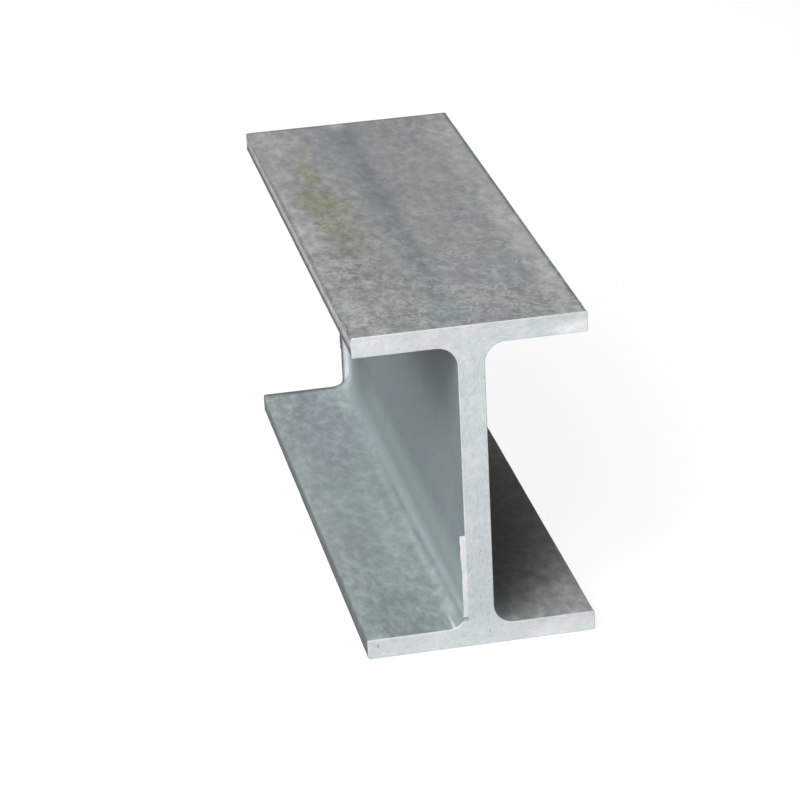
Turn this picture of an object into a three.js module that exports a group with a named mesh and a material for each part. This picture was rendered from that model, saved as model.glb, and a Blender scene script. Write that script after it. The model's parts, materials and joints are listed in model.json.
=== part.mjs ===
// Steel I-beam: a sawn length of hot-rolled, hot-dip galvanised H-section.
//
// One rolled bar with parallel flanges, a web joined to them by root fillets, flange toes
// with rolled, rounded arrises, and two ends sawn square with their edges lightly broken.
//
// Units are millimetres. X runs across the flanges, Y along the beam and +Z is up.
// The origin is the middle of the underside, so the beam stands on the plane Z = 0.

import * as THREE from 'three';

// Driving dimensions
const LENGTH = 280; // from sawn end to sawn end
const SECTION_DEPTH = 148; // overall height, outside to outside of the flanges
const FLANGE_WIDTH = 100;
const FLANGE_THICKNESS = 9;
const WEB_THICKNESS = 11.5;
const ROOT_RADIUS = 9; // fillet between the web and each flange
const TOE_RADIUS = 0.8; // rounding of the two arrises of each flange toe
const END_BREAK = 0.4; // chamfer that breaks the edge all round each sawn end

// Straight runs that each rolled arc is divided into
const ARC_FACETS = 12;

// Finish: weathered zinc, a matt mid grey that leans to blue
const ZINC_COLOUR = 0x949b9c;
const ZINC_ROUGHNESS = 0.55;
const ZINC_METALNESS = 0.6;

/**
 * Corners of the rolled section, anticlockwise from the bottom flange's right toe,
 * with the section's height along the second axis. Each corner is square and
 * carries the radius that the rolls leave there.
 */
function sectionCorners() {
  const toe = FLANGE_WIDTH / 2;
  const web = WEB_THICKNESS / 2;
  const lowerInner = FLANGE_THICKNESS;
  const upperInner = SECTION_DEPTH - FLANGE_THICKNESS;

  const rightSide = [
    { x: toe, y: 0, radius: TOE_RADIUS },
    { x: toe, y: lowerInner, radius: TOE_RADIUS },
    { x: web, y: lowerInner, radius: ROOT_RADIUS },
    { x: web, y: upperInner, radius: ROOT_RADIUS },
    { x: toe, y: upperInner, radius: TOE_RADIUS },
    { x: toe, y: SECTION_DEPTH, radius: TOE_RADIUS },
  ];
  const leftSide = rightSide.map((corner) => ({ ...corner, x: -corner.x })).reverse();
  return [...rightSide, ...leftSide];
}

/**
 * Closed outline through square corners, each one rounded by a true arc that is
 * tangent to both of its edges.
 */
function roundedOutline(corners) {
  const outline = new THREE.Shape();
  corners.forEach((corner, index) => {
    const here = new THREE.Vector2(corner.x, corner.y);
    const before = corners.at(index - 1);
    const after = corners[(index + 1) % corners.length];
    const toBefore = new THREE.Vector2(before.x, before.y).sub(here).normalize();
    const toAfter = new THREE.Vector2(after.x, after.y).sub(here).normalize();

    const centre = here
      .clone()
      .addScaledVector(toBefore, corner.radius)
      .addScaledVector(toAfter, corner.radius);
    const startAngle = Math.atan2(-toAfter.y, -toAfter.x);
    const endAngle = Math.atan2(-toBefore.y, -toBefore.x);
    const turnsInward = toBefore.cross(toAfter) > 0;
    outline.absarc(centre.x, centre.y, corner.radius, startAngle, endAngle, turnsInward);
  });
  outline.closePath();
  return outline;
}

/**
 * The section run out to the beam's length, with a chamfer at each end that stays
 * inside the section, then laid along Y with its height along Z.
 */
function rolledBar(outline) {
  const bar = new THREE.ExtrudeGeometry(outline, {
    depth: LENGTH - 2 * END_BREAK,
    steps: 1,
    curveSegments: ARC_FACETS / 2, // three.js gives an arc twice this many runs
    bevelEnabled: true,
    bevelThickness: END_BREAK,
    bevelSize: END_BREAK,
    bevelOffset: -END_BREAK,
    bevelSegments: 1,
  });
  bar.translate(0, 0, END_BREAK - LENGTH / 2);
  bar.rotateX(Math.PI / 2);
  return bar;
}

const galvanisedSteel = new THREE.MeshStandardMaterial({
  name: 'galvanised_steel',
  color: ZINC_COLOUR,
  roughness: ZINC_ROUGHNESS,
  metalness: ZINC_METALNESS,
});

const beam = new THREE.Mesh(rolledBar(roundedOutline(sectionCorners())), galvanisedSteel);
beam.name = 'i_beam';

const steelBeam = new THREE.Group();
steelBeam.name = 'steel_i_beam';
steelBeam.add(beam);

export default steelBeam;
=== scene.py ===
"""Finish of a sawn length of hot-dip galvanised steel H-section.

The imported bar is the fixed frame. The bar is rolled again here from the same sizes, as one
closed mesh fine enough to carry the relief of its zinc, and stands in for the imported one.
Saw burrs are added on the web's edges. Units are metres: X runs across the flanges, Y
along the bar and Z up. Where something counts in millimetres instead, its comment says so.
"""

import json
import logging
import math
from dataclasses import dataclass
from enum import Enum
from typing import Any, Mapping, Sequence

import bpy
from mathutils import Euler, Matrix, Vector


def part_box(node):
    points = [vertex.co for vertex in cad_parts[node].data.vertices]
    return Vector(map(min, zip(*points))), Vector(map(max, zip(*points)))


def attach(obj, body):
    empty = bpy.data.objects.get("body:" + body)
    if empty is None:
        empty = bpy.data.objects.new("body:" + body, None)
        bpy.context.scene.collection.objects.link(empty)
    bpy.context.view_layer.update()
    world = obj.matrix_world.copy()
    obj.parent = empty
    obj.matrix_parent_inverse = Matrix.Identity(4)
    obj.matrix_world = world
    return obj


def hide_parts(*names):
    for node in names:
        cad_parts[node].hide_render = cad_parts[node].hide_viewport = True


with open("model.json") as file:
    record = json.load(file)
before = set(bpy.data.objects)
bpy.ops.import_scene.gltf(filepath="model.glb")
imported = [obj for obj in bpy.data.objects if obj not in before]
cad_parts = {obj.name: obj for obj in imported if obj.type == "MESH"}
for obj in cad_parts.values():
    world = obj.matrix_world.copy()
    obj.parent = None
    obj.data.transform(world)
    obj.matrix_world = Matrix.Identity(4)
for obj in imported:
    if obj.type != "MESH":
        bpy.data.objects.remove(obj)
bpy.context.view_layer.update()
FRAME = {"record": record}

LOG = logging.getLogger("steel_beam")
MM = 0.001
BODY = "root"
BAR_NODE = "i_beam"

# Names of what the meshes carry for the finishes to read
UNROLLED = "Unrolled"
SAWN_FACE = "sawn_face"

# What a group's input or output has before anything is linked to it
NUMBER = 0.0
PLACE = (0.0, 0.0, 0.0)
GEOMETRY = None


# ------------------------------------------------------------------------- node trees


class TreeKind(Enum):
    """The two kinds of node tree that this script fills."""

    GEOMETRY = "GeometryNodeTree"
    SHADER = "ShaderNodeTree"


class PortKind(Enum):
    """The socket types of a group's inputs and outputs."""

    FLOAT = "NodeSocketFloat"
    INTEGER = "NodeSocketInt"
    VECTOR = "NodeSocketVector"
    MATERIAL = "NodeSocketMaterial"
    GEOMETRY = "NodeSocketGeometry"

    @classmethod
    def of(cls, value: Any) -> "PortKind":
        """Return the kind of socket that holds a value, which may be a material."""
        kinds = {float: cls.FLOAT, int: cls.INTEGER, tuple: cls.VECTOR, type(None): cls.GEOMETRY}
        return kinds.get(type(value), cls.MATERIAL)


class Wire:
    """What comes out of a node. A sum with a wire adds the node that works it out."""

    def __init__(self, graph: "Graph", socket: bpy.types.NodeSocket) -> None:
        """Keep the output's socket and the graph that it is in."""
        self.graph = graph
        self.socket = socket

    def __add__(self, other: "Value") -> "Wire":
        """Add a value."""
        return self.graph.sum("ADD", self, other)

    def __radd__(self, other: "Value") -> "Wire":
        """Add this to a plain value."""
        return self.graph.sum("ADD", other, self)

    def __sub__(self, other: "Value") -> "Wire":
        """Take a value away."""
        return self.graph.sum("SUBTRACT", self, other)

    def __rsub__(self, other: "Value") -> "Wire":
        """Take this away from a plain value."""
        return self.graph.sum("SUBTRACT", other, self)

    def __mul__(self, other: "Value") -> "Wire":
        """Multiply by a value."""
        return self.graph.sum("MULTIPLY", self, other)

    def __truediv__(self, other: "Value") -> "Wire":
        """Divide by a value."""
        return self.graph.sum("DIVIDE", self, other)

    def __abs__(self) -> "Wire":
        """Drop the number's sign."""
        return self.graph.math("ABSOLUTE", self)

    def is_vector(self) -> bool:
        """Tell a vector or a colour from a number."""
        return self.socket.type in ("VECTOR", "RGBA")


Value = float | int | bool | str | Sequence[float] | Wire


class Graph:
    """Shorthand for filling one node tree.

    Wherever a method takes a Value, a plain one becomes the socket's own value and a wire
    is linked to it.
    """

    def __init__(self, tree: bpy.types.NodeTree) -> None:
        """Keep the tree to fill."""
        self.tree = tree

    def put(self, socket: bpy.types.NodeSocket, value: Value) -> None:
        """Link a socket to a wire, or give it its own value.

        Args:
            socket: The input to feed.
            value: What feeds it.
        """
        if isinstance(value, Wire):
            self.tree.links.new(value.socket, socket)
        else:
            socket.default_value = value

    def node(self, kind: str, inputs: Mapping[str, Value] | None = None, **settings: Any) -> Any:
        """Add one node.

        Args:
            kind: The node's type name.
            inputs: Values by the input socket's identifier.
            **settings: Properties of the node itself, such as its operation.

        Returns:
            The new node.
        """
        made = self.tree.nodes.new(kind)
        for name, value in settings.items():
            setattr(made, name, value)
        sockets = {socket.identifier: socket for socket in made.inputs}
        for identifier, value in (inputs or {}).items():
            self.put(sockets[identifier], value)
        return made

    def wire(
        self,
        kind: str,
        inputs: Mapping[str, Value] | None = None,
        output: int | str = 0,
        **settings: Any,
    ) -> Wire:
        """Add one node and return what comes out of it.

        Args:
            kind: The node's type name.
            inputs: Values by the input socket's identifier.
            output: Which of its outputs, by number or name.
            **settings: Properties of the node itself.

        Returns:
            The wire from that output.
        """
        return Wire(self, self.node(kind, inputs, **settings).outputs[output])

    def math(self, operation: str, *terms: Value, clamp: bool = False) -> Wire:
        """Work out a number from others.

        Args:
            operation: The math node's operation.
            *terms: One to three numbers, as the operation takes.
            clamp: Whether the result is kept from 0 to 1.

        Returns:
            The number.
        """
        made = self.node("ShaderNodeMath", operation=operation, use_clamp=clamp)
        for socket, term in zip(made.inputs, terms):
            self.put(socket, term)
        return Wire(self, made.outputs[0])

    def vector(self, operation: str, *terms: Value) -> Wire:
        """Work out a vector, or for a length or distance a number.

        Args:
            operation: The vector math node's operation.
            *terms: One or two values. A vector that is scaled comes before its scale.

        Returns:
            The result.
        """
        made = self.node("ShaderNodeVectorMath", operation=operation)
        second = made.inputs["Scale"] if operation == "SCALE" else made.inputs[1]
        for socket, term in zip((made.inputs[0], second), terms):
            self.put(socket, term)
        single = operation in ("LENGTH", "DISTANCE")
        return Wire(self, made.outputs["Value" if single else "Vector"])

    def sum(self, operation: str, first: Value, second: Value) -> Wire:
        """Do a sum with two numbers, two vectors, or a vector and the number that scales it.

        Args:
            operation: The sum.
            first: A wire or a plain number. A vector that is scaled comes first.
            second: A wire, a plain number or a plain vector.

        Returns:
            The result.
        """
        vectors = [
            term.is_vector() if isinstance(term, Wire) else isinstance(term, tuple)
            for term in (first, second)
        ]
        if not any(vectors):
            return self.math(operation, first, second)
        return self.vector(operation if all(vectors) else "SCALE", first, second)

    def combine(self, x: Value = 0.0, y: Value = 0.0, z: Value = 0.0) -> Wire:
        """Make a vector from its three parts."""
        return self.wire("ShaderNodeCombineXYZ", {"X": x, "Y": y, "Z": z})

    def separate(self, vector: Value) -> tuple[Wire, ...]:
        """Take a vector apart."""
        made = self.node("ShaderNodeSeparateXYZ", {"Vector": vector})
        return tuple(Wire(self, output) for output in made.outputs)

    def rise(
        self, value: Value, start: Value, end: Value, low: Value = 0.0, high: Value = 1.0
    ) -> Wire:
        """Go smoothly from low to high as value goes from start to end, and stay there.

        Args:
            value: What is mapped.
            start: The value that gives low. It may be above end.
            end: The value that gives high.
            low: Result at start and before it.
            high: Result at end and after it.

        Returns:
            The eased number.
        """
        limits = {"Value": value, "From Min": start, "From Max": end, "To Min": low, "To Max": high}
        return self.wire("ShaderNodeMapRange", limits, interpolation_type="SMOOTHSTEP")

    def noise(
        self, vector: Value, size: Value, detail: float = 2.0, roughness: float = 0.5
    ) -> Wire:
        """Make clouds.

        Args:
            vector: Where they are looked up.
            size: About how wide they are.
            detail: How many finer layers they have.
            roughness: How strong the finer layers are.

        Returns:
            Their strength, from 0 to 1 and mostly near a half.
        """
        per_metre = self.math("DIVIDE", 1.0, size)
        inputs = {"Vector": vector, "Scale": per_metre, "Detail": detail, "Roughness": roughness}
        return self.wire("ShaderNodeTexNoise", inputs)

    def use(
        self, group: "NodeGroup", inputs: Mapping[str, Value], label: str = ""
    ) -> dict[str, Wire]:
        """Place a group in this tree.

        Args:
            group: The group to place, of the same kind as this tree.
            inputs: Values by the group's input names.
            label: What the node is called in the tree.

        Returns:
            What comes out, by the group's output names.
        """
        kind = self.tree.bl_idname.replace("NodeTree", "NodeGroup")
        made = self.node(kind, node_tree=group.tree, label=label)
        for name, value in inputs.items():
            self.put(made.inputs[name], value)
        return {output.name: Wire(self, output) for output in made.outputs}


class NodeGroup(Graph):
    """A tree of its own with named inputs and outputs."""

    def __init__(
        self, name: str, kind: TreeKind, inputs: Mapping[str, Any], outputs: Mapping[str, Any]
    ) -> None:
        """Make the group's sockets.

        Args:
            name: The tree's name.
            kind: Geometry or shader.
            inputs: What each input has before it is linked, by name.
            outputs: A value of each output's kind, by name.
        """
        super().__init__(bpy.data.node_groups.new(name, kind.value))
        self.identifiers: dict[str, str] = {}
        for side, ports in (("INPUT", inputs), ("OUTPUT", outputs)):
            for label, value in ports.items():
                item = self.tree.interface.new_socket(
                    label, in_out=side, socket_type=PortKind.of(value).value
                )
                if value is not GEOMETRY:
                    item.default_value = value
                if side == "INPUT":
                    self.identifiers[label] = item.identifier
        self.entry = self.node("NodeGroupInput")
        self.exit = self.node("NodeGroupOutput")

    def given(self, name: str) -> Wire:
        """Return what comes in at a named input."""
        return Wire(self, self.entry.outputs[name])

    def give(self, name: str, value: Value) -> None:
        """Send a value out at a named output."""
        self.put(self.exit.inputs[name], value)


@dataclass(frozen=True)
class Ramp:
    """A smooth change from low to high as a value goes from start to end."""

    start: float
    end: float
    low: float = 0.0
    high: float = 1.0

    def over(self, value: Wire, unit: float = MM, base: float = 0.0) -> Wire:
        """Map a value.

        Args:
            value: What is mapped.
            unit: What start and end count in: millimetres unless it is given.
            base: What they count from.

        Returns:
            The number from low to high.
        """
        start, end = (base + place * unit for place in (self.start, self.end))
        return value.graph.rise(value, start, end, self.low, self.high)


def titled(settings: Any) -> dict[str, Any]:
    """Return a dataclass's values by the names of the inputs that they go to."""
    return {name.replace("_", " ").title(): value for name, value in vars(settings).items()}


def add_object(name: str, data: bpy.types.ID) -> bpy.types.Object:
    """Make an object and link it to the scene.

    Args:
        name: The object's name.
        data: Its mesh, lamp or camera.

    Returns:
        The object.
    """
    made = bpy.data.objects.new(name, data)
    bpy.context.scene.collection.objects.link(made)
    return made


def run_tree(name: str, group: NodeGroup, values: Mapping[str, Any]) -> bpy.types.Object:
    """Run a geometry tree and keep what it makes as a plain mesh.

    Args:
        name: The piece's name.
        group: The geometry tree.
        values: What its named inputs are set to.

    Returns:
        A mesh object at the origin, with no modifier.
    """
    blank = bpy.data.meshes.new(f"{name} blank")
    piece = add_object(name, blank)
    modifier = piece.modifiers.new(group.tree.name, "NODES")
    modifier.node_group = group.tree
    for label, value in values.items():
        modifier[group.identifiers[label]] = value
    depsgraph = bpy.context.evaluated_depsgraph_get()
    mesh = bpy.data.meshes.new_from_object(
        piece.evaluated_get(depsgraph), preserve_all_data_layers=True, depsgraph=depsgraph
    )
    mesh.name = name
    while mesh.materials and mesh.materials[0] is None:
        mesh.materials.pop(index=0)
    piece.modifiers.clear()
    piece.data = mesh
    bpy.data.meshes.remove(blank)
    return piece


# ------------------------------------------------------------------------------ steel


class End(Enum):
    """The bar's two sawn ends, by the side of the origin that each is on."""

    NEAR = -1.0
    FAR = 1.0


@dataclass(frozen=True)
class SectionSizes:
    """Sizes of the rolled section and of the length sawn from it.

    The break that runs round each sawn end is uneven, over a range of at most ragged.
    """

    length: float
    depth: float
    width: float
    flange: float
    web: float
    root_radius: float = 9.0 * MM
    toe_radius: float = 0.8 * MM
    end_break: float = 0.4 * MM
    ragged: float = 0.9 * MM

    @classmethod
    def of_frame(cls, record: Mapping[str, Any]) -> "SectionSizes":
        """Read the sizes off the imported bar's box and its mounts.

        Args:
            record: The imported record.

        Returns:
            The sizes, in metres.
        """
        low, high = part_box(BAR_NODE)
        faces = {mount["name"]: Vector(mount["pos_m"]) for mount in record["mounts"]}
        return cls(
            length=high.y - low.y,
            depth=high.z - low.z,
            width=high.x - low.x,
            flange=faces["bottom_flange_upper_right"].z,
            web=2.0 * faces["web_right"].x,
        )


@dataclass(frozen=True)
class RollLine:
    """Where the rolls left a shallow line along each root fillet, fading to the far end.

    A shift is how far the line lies from the fillet's middle, up the web where it is above 0.
    """

    near_shift: float = 0.7 * MM
    far_shift: float = -1.5 * MM
    full_at: float = 5.0 * MM
    gone_at: float = 52.0 * MM


@dataclass(frozen=True)
class Relief:
    """Two waves in the zinc and the roll line, cut inwards so that the bar keeps its sizes."""

    swell_height: float = 0.10 * MM
    swell_size: float = 22.0 * MM
    peel_height: float = 0.05 * MM
    peel_size: float = 7.0 * MM
    line_depth: float = 0.12 * MM
    line_half_width: float = 1.4 * MM


# What measure_line reads, besides the place: the section's sizes and where the line runs
LINE_INPUTS = ("Depth", "Flange", "Web", "Root Radius", "Length", *titled(RollLine()))


def measure_line(group: NodeGroup, place: Value) -> tuple[Wire, Wire]:
    """Measure round the section from the roll line of the nearest root fillet.

    The section is folded on its two middle planes, so that one fillet stands for all four.

    Args:
        group: The group to work in. It has the inputs named in LINE_INPUTS.
        place: The point on the bar.

    Returns:
        The distance from the line, below 0 towards the toe and above 0 up the web, and how
        strong the line is there.
    """
    depth, flange, web, root, length, near_shift, far_shift, full_at, gone_at = (
        group.given(name) for name in LINE_INPUTS
    )
    x, y, z = group.separate(place)
    inward = group.math("MINIMUM", z, depth - z)
    to_web = web * 0.5 + root - abs(x)
    to_flange = flange + root - inward
    past_web, past_flange = (group.math("MAXIMUM", way, 0.0) for way in (to_web, to_flange))
    on_arc = (group.math("ARCTAN2", past_web, past_flange) - math.pi / 4.0) * root
    on_flange, on_web = (group.math("MINIMUM", way, 0.0) for way in (to_web, to_flange))
    round_it = on_arc + on_flange - on_web
    shift = group.rise(y, length * -0.5, 0.0, near_shift, far_shift)
    in_channel = group.math("GREATER_THAN", inward, flange * 0.5)
    return round_it - shift, group.rise(y, gone_at, full_at) * in_channel


class MeshTree(NodeGroup):
    """A geometry tree with one output, and what such trees share."""

    def __init__(self, name: str, inputs: Mapping[str, Any], output: str) -> None:
        """Make the tree's sockets.

        Args:
            name: The tree's name.
            inputs: The values that its inputs have, by name.
            output: The name of the geometry that it gives.
        """
        super().__init__(name, TreeKind.GEOMETRY, inputs, {output: GEOMETRY})

    def position(self) -> Wire:
        """Return the place of each point."""
        return self.wire("GeometryNodeInputPosition")

    def point_count(self, curve: Wire) -> Wire:
        """Count a curve's points."""
        kind = "GeometryNodeAttributeDomainSize"
        return self.wire(kind, {"Geometry": curve}, "Point Count", component="CURVE")

    def choose(self, condition: Value, if_false: Value, if_true: Value) -> Wire:
        """Pick one of two numbers."""
        inputs = {"Switch": condition, "False": if_false, "True": if_true}
        return self.wire("GeometryNodeSwitch", inputs, input_type="FLOAT")

    def moved(self, geometry: Wire, place: Wire) -> Wire:
        """Put each point at another place."""
        inputs = {"Geometry": geometry, "Position": place}
        return self.wire("GeometryNodeSetPosition", inputs)

    def stored(self, mesh: Wire, name: str, value: Value, **kind: str) -> Wire:
        """Store an attribute, whose kind says its data_type and its domain."""
        inputs = {"Geometry": mesh, "Name": name, "Value": value}
        return self.wire("GeometryNodeStoreNamedAttribute", inputs, **kind)

    def dressed(self, mesh: Wire, finish: str, selection: Value = True) -> Wire:
        """Give a mesh, or the selected part of it, the material that comes in as finish."""
        inputs = {"Geometry": mesh, "Selection": selection, "Material": self.given(finish)}
        return self.wire("GeometryNodeSetMaterial", inputs)


class SectionTree(MeshTree):
    """Draws the rolled outline as a closed curve, flat, with its height along Y.

    The outline starts in the middle of the underside and runs clockwise, so that its left
    side is the outside. Its output is Outline.
    """

    INPUTS = ("Width", "Depth", "Flange", "Web", "Root Radius", "Toe Radius", "Pitch", "Arc Facets")
    # Point 0 is the seam. The twelve corners come after it, and this is the middle of them
    POINTS = 13
    MIDDLE_POINT = 6.5
    # Each side's six corners are ranked from the top. The root fillets are within 1 of this
    ROOT_RANK = 2.5

    def __init__(self, values: Mapping[str, Any]) -> None:
        """Build the tree.

        Args:
            values: The sizes, by the names in INPUTS, and others.
        """
        super().__init__("Rolled Section", {name: values[name] for name in self.INPUTS}, "Outline")
        self.index = self.wire("GeometryNodeInputIndex")
        self.give("Outline", self.divided(self.rounded()))

    def rounded(self) -> Wire:
        """Join the corners and round each one off with an arc.

        Returns:
            The curve through the ends of the arcs' facets.
        """
        width, depth, flange, web, root, toe, _, facets = (self.given(name) for name in self.INPUTS)
        from_middle = self.index - self.MIDDLE_POINT
        rank = abs(from_middle) - 0.5
        at_root = self.math("COMPARE", rank, self.ROOT_RANK, 1.0)
        is_corner = self.math("MINIMUM", self.index, 1.0)
        half = self.choose(at_root, width, web) * 0.5
        side = self.math("SIGN", from_middle) * is_corner

        upper = depth - flange
        levels = (depth, upper, upper, flange, flange, 0.0)
        height = self.node("GeometryNodeIndexSwitch", data_type="FLOAT")
        while len(height.index_switch_items) < len(levels):
            height.index_switch_items.new()
        choices = (self.math("MINIMUM", rank, len(levels) - 1.0), *levels)
        for socket, value in zip(height.inputs, choices):
            self.put(socket, value)

        place = self.combine(half * side, Wire(self, height.outputs[0]))
        points = self.wire("GeometryNodePoints", {"Count": self.POINTS, "Position": place})
        line = self.wire("GeometryNodePointsToCurves", {"Points": points, "Weight": self.index})
        closed = self.wire("GeometryNodeSetSplineCyclic", {"Geometry": line, "Cyclic": True})
        toe_facets = self.math("CEIL", facets / 2.0)
        rounding = {
            "Curve": closed,
            "Count": self.choose(at_root, toe_facets, facets),
            "Radius": self.choose(at_root, toe, root) * is_corner,
        }
        return self.wire("GeometryNodeFilletCurve", rounding, mode="POLY")

    def divided(self, curve: Wire) -> Wire:
        """Divide the curve's longer runs into steps of at most the pitch.

        Args:
            curve: The rounded outline.

        Returns:
            The outline with its added points.
        """
        here = self.position()
        following = self.math("MODULO", self.index + 1.0, self.point_count(curve))
        onward = self.wire(
            "GeometryNodeFieldAtIndex",
            {"Value": here, "Index": following},
            domain="POINT",
            data_type="FLOAT_VECTOR",
        )
        run = self.vector("DISTANCE", here, onward)
        cuts = self.math("CEIL", run / self.given("Pitch")) - 1.0
        most = self.math("MAXIMUM", cuts, 0.0)
        return self.wire("GeometryNodeSubdivideCurve", {"Curve": curve, "Cuts": most})


class BarTree(MeshTree):
    """Rolls the outline along the bar and closes it with a flat face at each end.

    Its output Bar is the finished mesh.
    """

    # Points closer than this are made one
    WELD = 0.005 * MM
    # The break's unevenness: how wide its waves are, and its least share of the full break
    RIM_WAVE = 3.0 * MM
    LEAST_BREAK = 0.3
    # The part of a cloud's range that a wave in the zinc uses
    WAVE_LOW, WAVE_HIGH = 0.25, 0.75
    # How far from an end the relief has its full depth
    RELIEF_FULL = 4.0 * MM

    def __init__(self, values: Mapping[str, Any]) -> None:
        """Build the tree.

        Args:
            values: What its inputs have, by name.
        """
        super().__init__("Rolled Bar", values, "Bar")
        passed_on = {name: self.given(name) for name in SectionTree.INPUTS}
        self.outline = self.use(SectionTree(values), passed_on)["Outline"]
        self.length, self.end_break = self.given("Length"), self.given("End Break")
        self.half_length = self.length * 0.5

        skin = self.skin()
        whole = self.node("GeometryNodeJoinGeometry")
        for part in (*self.sawn_faces(), skin):
            self.put(whole.inputs[0], part)
        inputs = {"Geometry": Wire(self, whole.outputs[0]), "Distance": self.WELD}
        closed = self.wire("GeometryNodeMergeByDistance", inputs)
        real = self.wire("GeometryNodeRealizeInstances", {"Geometry": closed})
        kind = "GeometryNodeInputNamedAttribute"
        sawn = self.wire(kind, {"Name": SAWN_FACE}, data_type="BOOLEAN")
        self.give("Bar", self.dressed(self.dressed(real, "Zinc"), "Sawn Steel", sawn))

    def skin(self) -> Wire:
        """Lay a grid round the outline and along the bar.

        A column of the grid is a point of the outline, and a row is a ring round the bar. The
        first and last rings draw in, which rounds the edge of each end and leaves it bare of
        zinc. The unrolled map gives the distance round the outline and the place along the
        bar, in metres.

        Returns:
            The skin.
        """
        points = self.point_count(self.outline)
        flat = self.length - self.end_break * 2.0
        steps = self.math("CEIL", flat / self.given("Pitch"))
        rows = self.given("Break Rings") * 2.0 + steps + 1.0
        counts = {"Vertices X": points + 1.0, "Vertices Y": rows}
        grid = self.wire("GeometryNodeMeshGrid", {"Size X": 1.0, "Size Y": 1.0, **counts})
        index = self.wire("GeometryNodeInputIndex")
        column = self.math("FLOOR", (index + 0.5) / rows)
        row = index - column * rows

        along, from_end, drawn_in = self.ring(row, rows - 1.0, flat / steps)
        place, tangent, travelled = self.outline_point(column, points)
        x, z, _ = self.separate(place)
        base = self.combine(x, along, z)
        depth = drawn_in * self.rim_inset(x, z) + self.relief_depth(base, from_end)
        out_x, out_z = self.outward(tangent)
        moved = self.moved(grid, base - self.combine(out_x, 0.0, out_z) * depth)

        unrolled = self.wire(
            "GeometryNodeFieldOnDomain",
            {"Value": self.combine(travelled, along)},
            domain="POINT",
            data_type="FLOAT_VECTOR",
        )
        mapped = self.with_map(moved, unrolled)
        _, face_along, _ = self.separate(self.position())
        zinc_ends = self.half_length - self.end_break
        bare = self.math("GREATER_THAN", abs(face_along), zinc_ends)
        marked = self.with_mark(mapped, bare)
        return self.wire("GeometryNodeSetShadeSmooth", {"Geometry": marked, "Shade Smooth": True})

    def ring(self, row: Wire, last: Wire, step: Wire) -> tuple[Wire, Wire, Wire]:
        """Work out where a ring of the skin lies.

        Args:
            row: The ring's number from the near end.
            last: The far end's number.
            step: The distance between the rings along the flat part.

        Returns:
            Its place along the bar, its distance from the nearer end, and how far it is drawn
            in, from 0 to 1 at the end itself.
        """
        rings = self.given("Break Rings")
        from_end = self.math("MINIMUM", row, last - row)
        angle = self.math("DIVIDE", from_end, rings, clamp=True) * (math.pi / 2.0)
        drawn_in = 1.0 - self.math("SINE", angle)
        in_break = self.end_break * (1.0 - self.math("COSINE", angle))
        past = self.math("MAXIMUM", from_end - rings, 0.0)
        inward = past * step + in_break
        sign = self.math("LESS_THAN", row, last * 0.5) * -2.0 + 1.0
        return sign * (self.half_length - inward), inward, drawn_in

    def outline_point(self, column: Wire, points: Wire) -> tuple[Wire, Wire, Wire]:
        """Look up the point of the outline that a column of the skin follows.

        Args:
            column: The column's number.
            points: How many points the outline has.

        Returns:
            The point, the outline's direction there, and the distance round to it.
        """
        length_so_far = self.wire("GeometryNodeSplineParameter", output="Length")
        fields = (
            self.position(),
            self.wire("GeometryNodeInputTangent"),
            self.combine(length_so_far),
        )
        on_outline = self.math("MODULO", column, points)
        place, tangent, travelled = (
            self.wire(
                "GeometryNodeSampleIndex",
                {"Geometry": self.outline, "Value": field, "Index": on_outline},
                data_type="FLOAT_VECTOR",
                domain="POINT",
            )
            for field in fields
        )
        whole = self.wire("GeometryNodeCurveLength", {"Curve": self.outline})
        full_turn = self.math("GREATER_THAN", column, points - 0.5)
        return place, tangent, full_turn * whole + self.separate(travelled)[0]

    def rim_inset(self, across: Wire, height: Wire) -> Wire:
        """Work out how far the rim of a sawn face lies inside the rolled outline.

        Args:
            across: Place across the bar.
            height: Height above the underside.

        Returns:
            The inset, uneven round the rim.
        """
        wave = self.noise(self.combine(across, 0.0, height), self.RIM_WAVE)
        uneven = (wave - 0.5) * self.given("Ragged")
        least = self.end_break * self.LEAST_BREAK
        return self.math("MAXIMUM", self.end_break + uneven, least)

    def relief_depth(self, place: Wire, from_end: Wire) -> Wire:
        """Work out how deep the zinc's surface lies under the bar's true outline.

        Args:
            place: The point on the true outline.
            from_end: Its distance from the nearer end. The relief fades out there.

        Returns:
            The depth, never below zero.
        """
        depth: Value = 0.0
        for wave in ("Swell", "Peel"):
            clouds = self.noise(place, self.given(f"{wave} Size"), detail=1.0)
            spread = self.rise(clouds, self.WAVE_LOW, self.WAVE_HIGH)
            depth = spread * self.given(f"{wave} Height") + depth
        off_line, strength = measure_line(self, place)
        pressed = self.rise(abs(off_line), self.given("Line Half Width"), 0.0) * strength
        depth = pressed * self.given("Line Depth") + depth
        return depth * self.rise(from_end, self.end_break, self.RELIEF_FULL)

    def sawn_faces(self) -> list[Wire]:
        """Fill the outline, drawn in as far as the skin's last ring, at each end.

        Returns:
            The near and the far face, both looking outwards.
        """
        out_x, out_z = self.outward(self.wire("GeometryNodeInputTangent"))
        x, z, _ = self.separate(self.position())
        offset = self.combine(out_x, out_z) * self.rim_inset(x, z) * -1.0
        drawn_in = self.wire(
            "GeometryNodeSetPosition", {"Geometry": self.outline, "Offset": offset}
        )
        filled = self.wire("GeometryNodeFillCurve", {"Curve": drawn_in}, mode="TRIANGLES")
        mapped = self.with_map(filled, self.position())
        marked = self.with_mark(mapped, True)
        faces = []
        for end in End:
            placing = {
                "Geometry": marked,
                "Translation": self.combine(0.0, self.half_length * end.value),
                "Rotation": Euler((math.pi / 2.0, 0.0, 0.0)),
            }
            faces.append(self.wire("GeometryNodeTransform", placing))
        faces[-1] = self.wire("GeometryNodeFlipFaces", {"Mesh": faces[-1]})
        return faces

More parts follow.
